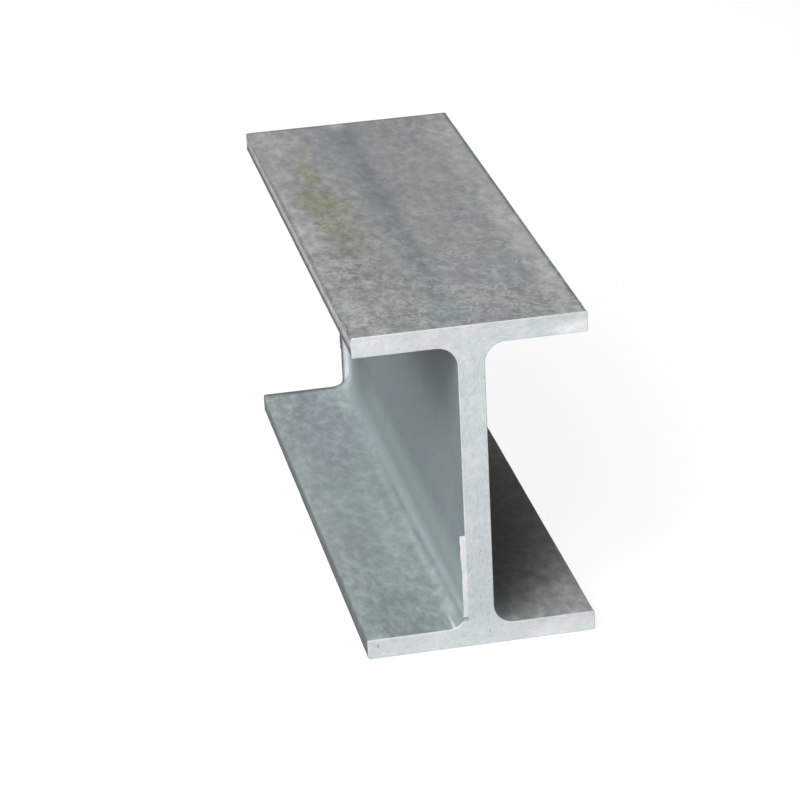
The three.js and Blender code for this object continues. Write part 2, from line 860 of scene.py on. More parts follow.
    def outward(self, tangent: Wire) -> tuple[Wire, Wire]:
        """Turn a tangent of the clockwise outline into the two parts of the outward normal."""
        x, y, _ = self.separate(tangent)
        return y * -1.0, x

    def with_mark(self, mesh: Wire, sawn: Value) -> Wire:
        """Store which faces the saw left bare."""
        return self.stored(mesh, SAWN_FACE, sawn, data_type="BOOLEAN", domain="FACE")

    def with_map(self, mesh: Wire, place: Wire) -> Wire:
        """Store a place as the unrolled map, on each corner of each face."""
        return self.stored(mesh, UNROLLED, place, data_type="FLOAT2", domain="CORNER")


@dataclass
class RolledBar:
    """The bar: one closed skin rolled along its length, with a sawn face at each end."""

    sizes: SectionSizes
    relief: Relief = Relief()
    line: RollLine = RollLine()
    arc_facets: int = 24
    pitch: float = 1.7 * MM
    break_rings: int = 3

    def build(self, zinc: bpy.types.Material, sawn: bpy.types.Material) -> bpy.types.Object:
        """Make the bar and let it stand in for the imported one.

        Args:
            zinc: Finish of the rolled faces.
            sawn: Finish of the two ends.

        Returns:
            The bar's object.
        """
        values = {
            **titled(self.sizes),
            **titled(self.relief),
            **titled(self.line),
            "Arc Facets": self.arc_facets,
            "Pitch": self.pitch,
            "Break Rings": self.break_rings,
            "Zinc": zinc,
            "Sawn Steel": sawn,
        }
        bar = run_tree("galvanised_bar", BarTree(values), values)
        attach(bar, BODY)
        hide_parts(BAR_NODE)
        return bar


class FinTree(MeshTree):
    """Lofts a fin from a round-edged strip whose reach changes with height.

    Its output Fin is the finished mesh.
    """

    # Torn edge: the size of its coarse and fine waves, the fine ones' share, and their mean
    COARSE_WAVE = 4.0 * MM
    FINE_WAVE = 1.1 * MM
    FINE_SHARE = 0.6
    MEAN_WAVE = 0.8
    # Height over which the reach changes at the step
    STEP_RUN = 1.2 * MM
    # As shares of the thickness: what the edge loses, and how far it curls back from the cut
    TAPER = 0.45
    CURL = 0.3
    # The power that squares the rim's circle off: the smaller it is, the squarer
    SQUARENESS = 0.4

    def __init__(self, values: Mapping[str, Any]) -> None:
        """Build the tree.

        Args:
            values: What its inputs have, by name.
        """
        super().__init__("Saw Burr", values, "Fin")
        foot, top = self.combine(z=self.given("Foot")), self.combine(z=self.given("Top"))
        spine = self.wire("GeometryNodeCurvePrimitiveLine", {"Start": foot, "End": top})
        inputs = {"Curve": spine, "Count": self.given("Stations")}
        ladder = self.wire("GeometryNodeResampleCurve", inputs)
        inputs = {"Resolution": self.given("Rim Points"), "Radius": 1.0}
        rim = self.wire("GeometryNodeCurvePrimitiveCircle", inputs, "Curve")
        inputs = {"Curve": ladder, "Profile Curve": rim, "Fill Caps": True}
        tube = self.wire("GeometryNodeCurveToMesh", inputs)
        fin = self.moved(tube, self.place())
        real = self.wire("GeometryNodeRealizeInstances", {"Geometry": fin})
        self.give("Fin", self.dressed(real, "Steel"))

    def reach(self, height: Wire) -> Wire:
        """Work out how far the fin reaches out from the web.

        Args:
            height: Height above the bar's underside.

        Returns:
            The reach, uneven, and wider towards the foot.
        """
        foot, spread = self.given("Foot"), self.given("Foot Radius")
        low_reach, step = self.given("Low Reach"), self.given("Step")
        along_edge = self.combine(self.given("Seed"), 0.0, height)
        coarse, fine = (
            self.noise(along_edge, size, detail=1.0) for size in (self.COARSE_WAVE, self.FINE_WAVE)
        )
        rough = (coarse + fine * self.FINE_SHARE - self.MEAN_WAVE) * self.given("Ragged")
        above = self.rise(height, step - self.STEP_RUN, step)
        straight = above * (self.given("Reach") - low_reach) + low_reach
        down_foot = 1.0 - self.math("DIVIDE", height - foot, spread, clamp=True)
        rounding = self.math("SQRT", 1.0 - down_foot * down_foot)
        return straight + rough + spread * (1.0 - rounding)

    def place(self) -> Wire:
        """Turn the rim's circle into a strip: x from the web outwards, y through its thickness.

        Returns:
            The place of each of the tube's points.
        """
        plane, thick, rooted = (self.given(name) for name in ("Cut Plane", "Thickness", "Rooted"))
        x, y, z = self.separate(self.position())
        share = x * 0.5 + 0.5
        across = share * (self.reach(z) + rooted) - rooted
        squared = self.math("POWER", abs(y), self.SQUARENESS) * self.math("SIGN", y)
        through = squared * (thick * ((share * -self.TAPER + 1.0) * 0.5))
        curl = self.math("POWER", share, 2.0) * (thick * self.CURL)
        depth = through + thick * 0.5 + curl
        side = self.math("SIGN", plane)
        return self.combine(self.given("Web Face") - across, plane - side * depth, z)


@dataclass
class SawBurr:
    """A ragged fin that the saw threw off the web's left edge, flush with the cut.

    It stands on the web's face and reaches out in the plane of the cut. Its upper part is
    broad, below the step it is narrower, and at its foot it spreads along the root fillet.
    """

    name: str
    end: End
    sizes: SectionSizes
    foot: float
    top: float
    step: float
    reach: float
    low_reach: float
    foot_radius: float = 0.3 * MM
    thickness: float = 0.8 * MM
    rooted: float = 1.4 * MM
    ragged: float = 0.7 * MM
    seed: float = 1.0
    stations: int = 90
    rim_points: int = 20

    def build(self, steel: bpy.types.Material) -> bpy.types.Object:
        """Make the burr.

        Args:
            steel: Finish of the torn metal.

        Returns:
            The burr's object.
        """
        own = titled(self)
        values = {name: own[name] for name in own if isinstance(own[name], (float, int))}
        values |= {
            "Web Face": -0.5 * self.sizes.web,
            "Cut Plane": self.end.value * 0.5 * self.sizes.length,
            "Steel": steel,
        }
        burr = run_tree(self.name, FinTree(values), values)
        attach(burr, BODY)
        return burr


# ------------------------------------------------------------------------------ finishes


Colour = tuple[float, float, float, float]
WHITE = (1.0, 1.0, 1.0, 1.0)

# Clouds stay near a half: times this, how far they are from it goes from -1 to 1 or so
CLOUD_SPREAD = 4.0
CLOUD_MEAN = (0.5, 0.5, 0.5)
# How a cloud turns one shade into another
CLOUD_TO_SHADE = Ramp(0.35, 0.65)

# Where the top face begins and where the channel ends, as shares of the bar's depth
ON_TOP = Ramp(0.96, 0.99)
UNDER_TOP = Ramp(0.94, 0.90)


def shade(red: int, green: int, blue: int) -> Colour:
    """Turn a colour in screen values, 0 to 255, into the linear one that shaders take.

    Args:
        red: Screen value of red.
        green: Screen value of green.
        blue: Screen value of blue.

    Returns:
        The linear colour, opaque.
    """
    parts = []
    for value in (red, green, blue):
        part = value / 255.0
        parts.append(part / 12.92 if part <= 0.04045 else ((part + 0.055) / 1.055) ** 2.4)
    return (*parts, 1.0)


class Patterns:
    """The shader groups that the finishes share, each built once."""

    def __init__(self) -> None:
        """Build the groups."""
        self.mottle = self.mottle_group()
        self.patch = self.patch_group()
        self.needles = self.needles_group()
        self.specks = self.specks_group()
        self.roll_line = self.roll_line_group()

    def mottle_group(self) -> NodeGroup:
        """Add up three sizes of cloud, as in a coat or a metal that has dulled unevenly.

        Its input Contrast makes the pale marks stronger than the dark ones.

        Returns:
            The shader group. Its output Tone lies about 0, from -1 to 1.
        """
        layers = ("Broad", "Middle", "Fine")
        inputs = {f"{layer} {part}": NUMBER for part in ("Size", "Share") for layer in layers}
        inputs = {"Place": PLACE, **inputs, "Contrast": 0.3}
        group = NodeGroup("Mottle", TreeKind.SHADER, inputs, {"Tone": NUMBER})
        tone: Value = 0.0
        for layer in layers:
            size, share = (group.given(f"{layer} {part}") for part in ("Size", "Share"))
            cloud = group.noise(group.given("Place"), size, detail=1.5)
            about_zero = cloud * CLOUD_SPREAD - 0.5 * CLOUD_SPREAD
            lifted = (about_zero * group.given("Contrast") + 1.0) * about_zero
            tone = lifted * share + tone
        group.give("Tone", tone)
        return group

    def patch_group(self) -> NodeGroup:
        """Mark a soft oval round a place, with an edge that wanders.

        Returns:
            The shader group. Its output Mask is 1 in the middle and 0 outside.
        """
        places = {"Place": PLACE, "Centre": PLACE, "Half Size": PLACE}
        edges = {"Softness": NUMBER, "Wander": NUMBER, "Wander Size": NUMBER}
        group = NodeGroup("Patch", TreeKind.SHADER, {**places, **edges}, {"Mask": NUMBER})
        place, centre, half_size = (group.given(name) for name in places)
        softness, wander, wander_size = (group.given(name) for name in edges)
        reach = group.vector("LENGTH", (place - centre) / half_size)
        cloud = group.noise(place, wander_size, detail=4.0, roughness=0.6)
        edge = (cloud - 0.5) * wander * CLOUD_SPREAD + reach
        group.give("Mask", group.rise(edge, 1.0 + softness, 1.0 - softness))
        return group

    def needles_group(self) -> NodeGroup:
        """Scatter short fine strokes over a flat map, each turned and bent by chance.

        Every cell of a random pattern holds one stroke or none.

        Returns:
            The shader group. Its output Mask is 1 along the middle of a stroke.
        """
        seed_step = (17.3, 9.1)  # in cells
        sway_scale, sway_reach = 1.3, 0.28
        shortest, longest = 0.35, 0.60  # of the length, from the middle
        edge, tip, faint = 0.75, 0.4, 0.6  # where a stroke's sides, ends and presence fade

        names = ("Cell", "Length", "Width", "Bend", "Presence", "Angle", "Spread", "Seed")
        inputs = {"Map": PLACE, **dict.fromkeys(names, NUMBER)}
        group = NodeGroup("Needles", TreeKind.SHADER, inputs, {"Mask": NUMBER})
        cell, length, width, bend, presence, angle, spread, seed = (
            group.given(name) for name in names
        )
        at = group.given("Map") * group.math("DIVIDE", 1.0, cell)
        at = at + group.combine(*(seed * step for step in seed_step))
        inputs = {"Vector": at, "Scale": sway_scale, "Detail": 1.0}
        sway = group.wire("ShaderNodeTexNoise", inputs, "Color") - CLOUD_MEAN
        at = at + sway * sway_reach
        cells = group.node(
            "ShaderNodeTexVoronoi", {"Vector": at, "Scale": 1.0}, voronoi_dimensions="2D"
        )
        east, north, _ = group.separate(at - Wire(group, cells.outputs["Position"]))
        chance_turn, chance_bend, chance = group.separate(Wire(group, cells.outputs["Color"]))

        turned = (chance_turn - 0.5) * spread + angle
        cosine, sine = group.math("COSINE", turned), group.math("SINE", turned)
        along = east * cosine + north * sine
        bow = (chance_bend - 0.5) * bend * (along * along)
        from_line = abs(north * cosine - east * sine + bow) * cell
        half = length * (chance_bend * (longest - shortest) + shortest)
        thin = group.rise(from_line, width * edge, 0.0)
        ends = group.rise(abs(along) * cell, half, half * tip)
        there = group.rise(chance, presence, presence * faint)
        group.give("Mask", thin * ends * there)
        return group

    def specks_group(self) -> NodeGroup:
        """Scatter small round marks with ragged edges through space.

        Returns:
            The shader group. Its output Mask is 1 in the middle of a mark.
        """
        ragged_scale, ragged_reach = 2.6, 0.7
        smallest, size_range = 0.5, 0.8  # of the radius
        core = 0.45

        names = ("Cell", "Radius", "Presence")
        inputs = {"Place": PLACE, **dict.fromkeys(names, NUMBER)}
        group = NodeGroup("Specks", TreeKind.SHADER, inputs, {"Mask": NUMBER})
        cell, radius, presence = (group.given(name) for name in names)
        at = group.given("Place") * group.math("DIVIDE", 1.0, cell)
        inputs = {"Vector": at, "Scale": ragged_scale, "Detail": 2.0}
        ragged = group.wire("ShaderNodeTexNoise", inputs, "Color") - CLOUD_MEAN
        at = at + ragged * ragged_reach
        cells = group.node("ShaderNodeTexVoronoi", {"Vector": at, "Scale": 1.0})
        size_chance, chance, _ = group.separate(Wire(group, cells.outputs["Color"]))
        size = radius * (size_chance * size_range + smallest)
        spot = group.rise(Wire(group, cells.outputs["Distance"]) * cell, size, size * core)
        group.give("Mask", spot * group.math("LESS_THAN", chance, presence))
        return group

    def roll_line_group(self) -> NodeGroup:
        """Measure from the line that the rolls left along each root fillet.

        Returns:
            The shader group. Its output Off Line is the distance from the line, below 0
            towards the toe and above 0 up the web, and Strength is 0 to 1.
        """
        inputs = {"Place": PLACE, **dict.fromkeys(LINE_INPUTS, NUMBER)}
        outputs = {"Off Line": NUMBER, "Strength": NUMBER}
        group = NodeGroup("Roll Line", TreeKind.SHADER, inputs, outputs)
        for name, value in zip(outputs, measure_line(group, group.given("Place"))):
            group.give(name, value)
        return group


class Surface(Graph):
    """A new material with one Principled BSDF, to be filled in with the shared patterns."""

    # Which output of a mixing node holds the colour. All its outputs have the same name
    MIXED_COLOUR = 2

    def __init__(self, name: str, patterns: Patterns, metallic: float, specular: float) -> None:
        """Make the material and the places that its patterns read.

        Args:
            name: The material's name.
            patterns: The shared groups.
            metallic: Metallic, the same all over.
            specular: Specular IOR Level, the same all over.
        """
        self.material = bpy.data.materials.new(name)
        self.material.use_nodes = True
        super().__init__(self.material.node_tree)
        self.tree.nodes.clear()
        self.patterns = patterns
        self.bsdf = self.node(
            "ShaderNodeBsdfPrincipled", {"Metallic": metallic, "Specular IOR Level": specular}
        )
        self.node("ShaderNodeOutputMaterial", {"Surface": Wire(self, self.bsdf.outputs["BSDF"])})
        self.place = self.wire("ShaderNodeTexCoord", output="Object")
        self.unrolled = self.wire("ShaderNodeUVMap", output="UV", uv_map=UNROLLED)

    def blend(self, share: Value, start: Value, end: Value) -> Wire:
        """Mix two colours, with share as how much of the second one."""
        inputs = {"Factor_Float": share, "A_Color": start, "B_Color": end}
        return self.wire("ShaderNodeMix", inputs, self.MIXED_COLOUR, data_type="RGBA")

    def finish(
        self, colour: Value, roughness: Value, height: Value, rise: float
    ) -> bpy.types.Material:
        """Feed the shader and hand the material over.

        Args:
            colour: Base colour.
            roughness: Roughness.
            height: Fine relief, about 0 to 1.
            rise: What a height of 1 stands for, in metres.

        Returns:
            The material.
        """
        bump = self.wire("ShaderNodeBump", {"Height": height, "Distance": rise, "Strength": 1.0})
        for name, value in (("Base Color", colour), ("Roughness", roughness), ("Normal", bump)):
            self.put(self.bsdf.inputs[name], value)
        return self.material


@dataclass(frozen=True)
class Clouds:
    """Three sizes of cloud in a finish, in metres, and how much each counts."""

    broad_size: float
    middle_size: float
    fine_size: float
    broad_share: float
    middle_share: float
    fine_share: float

    def tone(self, surface: Surface, place: Wire) -> Wire:
        """Return the clouds' tone, which lies about 0."""
        return surface.use(surface.patterns.mottle, {"Place": place, **titled(self)})["Tone"]


@dataclass(frozen=True)
class StainOrPaintedLight:
    """A soft patch of colour, in screen values: a stain, painted light or painted shade. Places and
    sizes are in millimetres.
    """

    name: str
    centre: tuple[float, float, float]
    half_size: tuple[float, float, float]
    colour: tuple[int, int, int]
    strength: float
    softness: float = 0.6
    wander: float = 0.25
    wander_size: float = 9.0

    def tint(self, surface: Surface, under: Wire) -> Wire:
        """Lay the patch, a stain or painted light or shade, over a colour.

        Args:
            surface: The material to work in.
            under: The colour so far.

        Returns:
            The colour with the patch.
        """
        inputs = {
            "Place": surface.place,
            "Centre": [part * MM for part in self.centre],
            "Half Size": [part * MM for part in self.half_size],
            "Softness": self.softness,
            "Wander": self.wander,
            "Wander Size": self.wander_size * MM,
        }
        mask = surface.use(surface.patterns.patch, inputs, label=self.name)["Mask"]
        return surface.blend(mask * self.strength, under, shade(*self.colour))


@dataclass(frozen=True)
class Strokes:
    """One layer of fine strokes on the unrolled map. Sizes are in millimetres."""

    cell: float
    length: float
    width: float
    presence: float
    strength: float
    seed: float
    bend: float = 1.2
    angle: float = 0.0
    spread: float = 2.0 * math.pi

    def mask(self, surface: Surface, flat_map: Wire) -> Wire:
        """Scatter the strokes.

        Args:
            surface: The material to work in.
            flat_map: The map that they lie on.

        Returns:
            The strokes' mask, times their strength.
        """
        inputs = {"Map": flat_map, **titled(self)}
        strength = inputs.pop("Strength")
        for size in ("Cell", "Length", "Width"):
            inputs[size] *= MM
        return surface.use(surface.patterns.needles, inputs)["Mask"] * strength


# What shows in the channels, along the flanges' toes and arrises and on the top flange: stains, and
# rows of painted light and shade
STAINS_AND_PAINTED_LIGHT = (
    # A lighter, bluer tint over the whole web, partly painted cool light.
    StainOrPaintedLight("cool web", (-8.0, 0.0, 74.0), (9.0, 400.0, 75.0), (143, 156, 161), 0.80, 0.3),
    StainOrPaintedLight("cool shelf", (-32.0, 0.0, 8.0), (26.0, 400.0, 8.0), (144, 156, 158), 0.80, 0.3),
    StainOrPaintedLight("pale foot", (-6.5, 0.0, 23.0), (7.0, 400.0, 12.5), (168, 181, 183), 0.80, 0.6, 0.1),
    StainOrPaintedLight("pale brink", (-48.0, 0.0, 10.0), (6.0, 400.0, 2.5), (158, 167, 168), 0.60, 0.7),
    StainOrPaintedLight("pale strip", (-20.5, -60.0, 9.0), (5.0, 100.0, 2.0), (160, 170, 171), 0.60, 0.7, 0.15),
    # Painted shade: the upper web darker under the top flange.
    StainOrPaintedLight("painted shade under top flange", (-6.0, 60.0, 130.0), (6.0, 180.0, 27.0), (76, 82, 84), 0.75, 0.8, 0.1),
    # Painted shade: the web darker at its near end, below the top flange.
    StainOrPaintedLight("painted shade at near web mouth", (-6.0, -138.0, 86.0), (4.0, 24.0, 34.0), (112, 121, 124), 0.35, 0.7, 0.1),
    # Painted light: the web's far end near white, as though lit from behind.
    StainOrPaintedLight("painted light at far web end", (-6.0, 143.0, 74.0), (5.0, 12.0, 80.0), (246, 252, 254), 0.95, 0.8, 0.1),
    # Painted shade: the far web darker low down, part of the band of shade under the top flange.
    StainOrPaintedLight("painted shade on far web", (-6.0, 104.0, 38.0), (4.0, 22.0, 16.0), (96, 104, 107), 0.45, 0.8),
    StainOrPaintedLight("pale left edge", (-47.0, 70.0, 148.0), (8.0, 110.0, 3.0), (162, 163, 158), 0.60),
    StainOrPaintedLight("pale right edge", (47.0, 0.0, 148.0), (9.0, 170.0, 3.0), (164, 168, 163), 0.75),
    StainOrPaintedLight("far corner", (41.0, 100.0, 148.0), (10.0, 36.0, 3.0), (163, 168, 164), 0.70),
    StainOrPaintedLight("cool middle", (-17.0, 0.0, 148.0), (12.0, 400.0, 3.0), (131, 135, 134), 0.38, 0.7),
    StainOrPaintedLight("blue bloom", (-12.0, 78.0, 148.0), (13.0, 46.0, 3.0), (140, 145, 147), 0.30),
    StainOrPaintedLight("green far", (-31.0, 100.0, 148.0), (5.0, 26.0, 3.0), (142, 143, 128), 0.50, 0.8, 0.5),
    StainOrPaintedLight("green neck", (-30.5, 70.0, 148.0), (4.0, 15.0, 3.0), (128, 129, 104), 0.70, 0.8, 0.5),
    StainOrPaintedLight("green spread", (-31.0, 24.0, 148.0), (8.0, 24.0, 3.0), (122, 123, 97), 0.75, 0.8, 0.5),
    StainOrPaintedLight("green arm", (-38.0, 32.0, 148.0), (5.0, 20.0, 3.0), (134, 134, 114), 0.50, 0.8, 0.5),
    StainOrPaintedLight("green step", (-33.5, -8.0, 148.0), (6.5, 13.0, 3.0), (122, 123, 97), 0.75, 0.8, 0.5),
    StainOrPaintedLight("green tail", (-30.0, -34.0, 148.0), (6.0, 22.0, 3.0), (122, 123, 100), 0.75, 0.8, 0.5),
    StainOrPaintedLight("brown near", (-23.0, -96.0, 148.0), (5.5, 38.0, 3.0), (132, 131, 121), 0.50, 0.8, 0.4),
    StainOrPaintedLight("dull near", (-30.0, -68.0, 148.0), (12.0, 52.0, 3.0), (126, 130, 124), 0.65, 0.7),
    StainOrPaintedLight("dull near right", (15.0, -124.0, 148.0), (28.0, 20.0, 3.0), (122, 127, 126), 0.40, 0.7),
    StainOrPaintedLight("pale far right", (14.0, 78.0, 148.0), (12.0, 52.0, 3.0), (147, 151, 149), 0.40, 0.7),
    StainOrPaintedLight("pale far left", (-41.0, 110.0, 148.0), (13.0, 38.0, 3.0), (162, 163, 158), 0.45),
    # Painted light: the shelf and root fillet paler by the far end.
    StainOrPaintedLight("painted light at far foot", (-16.0, 130.0, 10.0), (7.0, 22.0, 6.0), (180, 190, 192), 0.60, 0.7),
    StainOrPaintedLight("dark line", (-3.0, 18.0, 148.0), (1.5, 100.0, 3.0), (106, 115, 116), 0.20, 0.6, 0.15),
    StainOrPaintedLight("dark tail", (-4.8, -90.0, 148.0), (1.8, 32.0, 3.0), (108, 117, 118), 0.34, 0.6, 0.15),
    StainOrPaintedLight("teal middle", (-3.0, 30.0, 148.0), (7.0, 34.0, 3.0), (130, 138, 136), 0.15, 0.6),
    StainOrPaintedLight("teal near", (-6.0, -124.0, 148.0), (5.5, 14.0, 3.0), (128, 142, 140), 0.50, 0.6),
    StainOrPaintedLight("right arris", (50.4, 0.0, 148.0), (2.1, 400.0, 3.0), (76, 80, 76), 0.80, 0.5, 0.1),
    StainOrPaintedLight("far arris", (0.0, 140.3, 148.0), (400.0, 2.3, 3.0), (96, 102, 100), 0.70, 0.5, 0.1),
    StainOrPaintedLight("far shelf arris", (-30.0, 140.3, 9.0), (28.0, 3.6, 6.0), (84, 92, 93), 0.85, 0.5, 0.1),
    StainOrPaintedLight("blue shelf", (-26.0, 84.0, 9.0), (12.0, 38.0, 3.0), (144, 152, 161), 0.50),
    StainOrPaintedLight("dark shelf", (-33.0, -116.0, 9.0), (15.0, 25.0, 3.0), (128, 141, 143), 0.70),
    # Painted light: the right shelf paler at its near outer corner, where light passes the web.
    StainOrPaintedLight("painted light on right shelf corner", (46.0, -134.0, 9.0), (18.0, 38.0, 3.0), (166, 171, 170), 0.80, 0.75),
    # Painted shade: the right shelf dark and brown beside the web, in the channel's shade.
    StainOrPaintedLight("painted shade in right channel", (26.0, 0.0, 9.0), (24.0, 98.0, 6.0), (80, 77, 64), 0.85, 0.6),
    StainOrPaintedLight("fillet glint", (-11.8, -136.0, 9.6), (0.6, 6.0, 2.0), (226, 238, 239), 0.70, 0.7),
    # A pale band along the top flange's toes, partly painted highlight.
    StainOrPaintedLight("toe band and highlight", (0.0, 0.0, 144.0), (400.0, 400.0, 2.0), (186, 189, 187), 0.75, 0.6, 0.1),
    StainOrPaintedLight("toe line", (-50.2, -60.0, 147.6), (1.2, 180.0, 1.3), (98, 103, 103), 0.80, 0.5, 0.1),
    StainOrPaintedLight("toe foot", (0.0, 0.0, 140.0), (400.0, 400.0, 2.4), (70, 74, 74), 0.90, 0.5, 0.1),
    # Painted shade: the bottom flange's toes darker towards the floor.
    StainOrPaintedLight("low toe", (0.0, -60.0, 1.8), (400.0, 260.0, 5.0), (84, 90, 92), 0.85, 0.6, 0.1),
    StainOrPaintedLight("low arris", (-50.6, -110.0, 7.5), (1.1, 90.0, 5.0), (84, 90, 92), 0.50, 0.5, 0.1),
)

NEEDLES = (
    Strokes(3.6, 4.4, 1.60, 0.75, 1.0, 1.0, bend=0.5),
    Strokes(3.0, 3.8, 1.50, 0.75, 0.9, 2.0, bend=0.6, spread=1.6),
    Strokes(4.8, 6.2, 1.50, 0.60, 1.0, 3.0, bend=0.4, spread=1.4),
    Strokes(2.2, 2.6, 1.20, 0.80, 0.7, 4.0, bend=0.8),
    Strokes(3.8, 5.6, 0.85, 0.55, 1.6, 5.0, bend=0.35, spread=2.4),
)


@dataclass(frozen=True)
class ZincFinish:
    """Hot-dip zinc gone dull: clouded grey, frost needles, stains, painted light and shade, and
    lines from the rolls.
    """

    sizes: SectionSizes
    line: RollLine = RollLine()
    cool: Colour = shade(134, 140, 140)
    warm: Colour = shade(139, 143, 142)
    drift_size: float = 42.0 * MM
    stains: tuple[StainOrPaintedLight, ...] = STAINS_AND_PAINTED_LIGHT
    metallic: float = 0.03
    specular: float = 0.10
    roughness: float = 0.62
    relief: float = 0.06 * MM
    grit_size: float = 0.9 * MM

    # Clouds, how far they are drawn out along the bar, and how strong they are: over the web,
    # towards the ends, and on the top face towards its left side and its far end
    clouds: Clouds = Clouds(14.0 * MM, 4.2 * MM, 1.5 * MM, 0.34, 0.78, 0.30)
    drawn_out: float = 0.5
    clouding: float = 0.34
    web_clouding: float = 0.22
    end_clouding: Ramp = Ramp(20.0, 110.0, 0.62, 1.0)
    left_clouding: Ramp = Ramp(-10.0, -32.0, 0.82, 1.35)
    far_clouding: Ramp = Ramp(30.0, 120.0, 1.0, 0.70)

    # Needles, and how thick they lie: near, on the left, on the top and beside the web
    strokes: tuple[Strokes, ...] = NEEDLES
    needle: Colour = shade(197, 201, 199)
    needle_share: float = 0.33
    needle_stretch: float = 1.2
    near_thick: Ramp = Ramp(60.0, -130.0, 0.25, 1.0)
    edge_thick: float = 0.9
    left_thick: Ramp = Ramp(-18.0, -34.0, 1.0, 1.1)
    top_thick: Ramp = Ramp(0.9, 0.99, 0.22, 1.0)
    web_bare: Ramp = Ramp(6.0, 1.0)
    gather_size: float = 14.0 * MM
    gathering: Ramp = Ramp(0.30, 0.62, 0.25, 1.0)

    # The roll line: dark in the middle, partly painted shade in its groove, with a pale band on
    # each side, partly painted highlight, given by the band's middle and half width in
    # millimetres, and uneven along the bar
    line_dark_and_shade: float = 0.22
    line_pale_and_sheen: float = 0.07
    line_core: Ramp = Ramp(1.8, 0.2)
    pale_and_sheen_bands: tuple[tuple[float, float], ...] = ((2.9, 1.4), (-3.0, 1.8))
    wobble_size: float = 9.0 * MM
    wobble_stretch: float = 0.3
    wobble: Ramp = Ramp(0.3, 0.6, 0.5, 1.0)

    def material(self, patterns: Patterns) -> bpy.types.Material:
        """Make the material.

        Args:
            patterns: The shared groups.

        Returns:
            The material.
        """
        tone_roughness, needle_roughness, needle_height = 0.06, -0.08, 0.35
        surface = Surface("dull_zinc", patterns, self.metallic, self.specular)
        tone = self.clouds.tone(surface, surface.place * (1.0, self.drawn_out, 1.0))
        tone = tone * self.liveliness(surface)
        drift = surface.noise(surface.place, self.drift_size)
        colour = surface.blend(CLOUD_TO_SHADE.over(drift, 1.0), self.cool, self.warm)
        for tint_patch in self.stains:
            colour = tint_patch.tint(surface, colour)
        colour = colour * (tone * self.clouding + 1.0)

        needles = self.needles(surface)
        colour = surface.blend(needles * self.needle_share, colour, self.needle)
        colour = self.lined(surface, colour)
        roughness = needles * needle_roughness + (tone * tone_roughness + self.roughness)
        grit = surface.noise(surface.place, self.grit_size)
        return surface.finish(colour, roughness, needles * needle_height + grit, self.relief)

    def liveliness(self, surface: Surface) -> Wire:
        """Say how strongly the zinc is clouded: most on the top's left side, least on the web.

        Args:
            surface: The material to work in.

        Returns:
            The factor.
        """
        x, y, z = surface.separate(surface.place)
        half_web = 0.5 * self.sizes.web
        off_web = half_web + self.sizes.root_radius
        below = surface.rise(abs(x), half_web, off_web, self.web_clouding, 1.0)
        below = below * self.end_clouding.over(abs(y))
        on_top = ON_TOP.over(z, self.sizes.depth) * self.far_clouding.over(y)
        return surface.math("MAXIMUM", below, self.left_clouding.over(x) * on_top)

    def needles(self, surface: Surface) -> Wire:
        """Scatter the frost needles: thick on the top face's near part and along its edges.

        Args:
            surface: The material to work in.

        Returns:
            The needles' mask.
        """
        flat_map = surface.unrolled * (1.0, self.needle_stretch * self.drawn_out, 1.0)
        most: Value = 0.0
        for strokes in self.strokes:
            most = surface.math("MAXIMUM", strokes.mask(surface, flat_map), most)
        x, y, z = surface.separate(surface.place)
        nearness = self.near_thick.over(abs(x) * -self.edge_thick + y) * self.left_thick.over(x)
        on_web = self.web_bare.over(abs(x), base=0.5 * self.sizes.web)
        bare = on_web * UNDER_TOP.over(z, self.sizes.depth) * -1.0
        height = self.top_thick.over(z, self.sizes.depth)
        drifts = surface.noise(surface.place, self.gather_size, detail=1.0)
        density = nearness * (bare * height + height) * self.gathering.over(drifts, 1.0)
        return most * density

    def lined(self, surface: Surface, colour: Wire) -> Wire:
        """Draw the roll line along each root fillet, dark between two pale bands: partly painted
        shade and highlight.

        Args:
            surface: The material to work in.
            colour: The colour so far.

        Returns:
            The colour with the lines.
        """
        known = {**titled(self.sizes), **titled(self.line)}
        inputs = {"Place": surface.place, **{name: known[name] for name in LINE_INPUTS}}
        line = surface.use(surface.patterns.roll_line, inputs)
        wobble = surface.noise(surface.place * (1.0, self.wobble_stretch, 1.0), self.wobble_size)
        strength = self.wobble.over(wobble, 1.0) * line["Strength"]
        dark = self.line_core.over(abs(line["Off Line"]))
        bands = [
            Ramp(half_width, self.line_core.end).over(abs(line["Off Line"] - middle * MM))
            for middle, half_width in self.pale_and_sheen_bands
        ]
        change = dark * -self.line_dark_and_shade + surface.math("MAXIMUM", *bands) * self.line_pale_and_sheen
        return colour * (change * strength + 1.0)


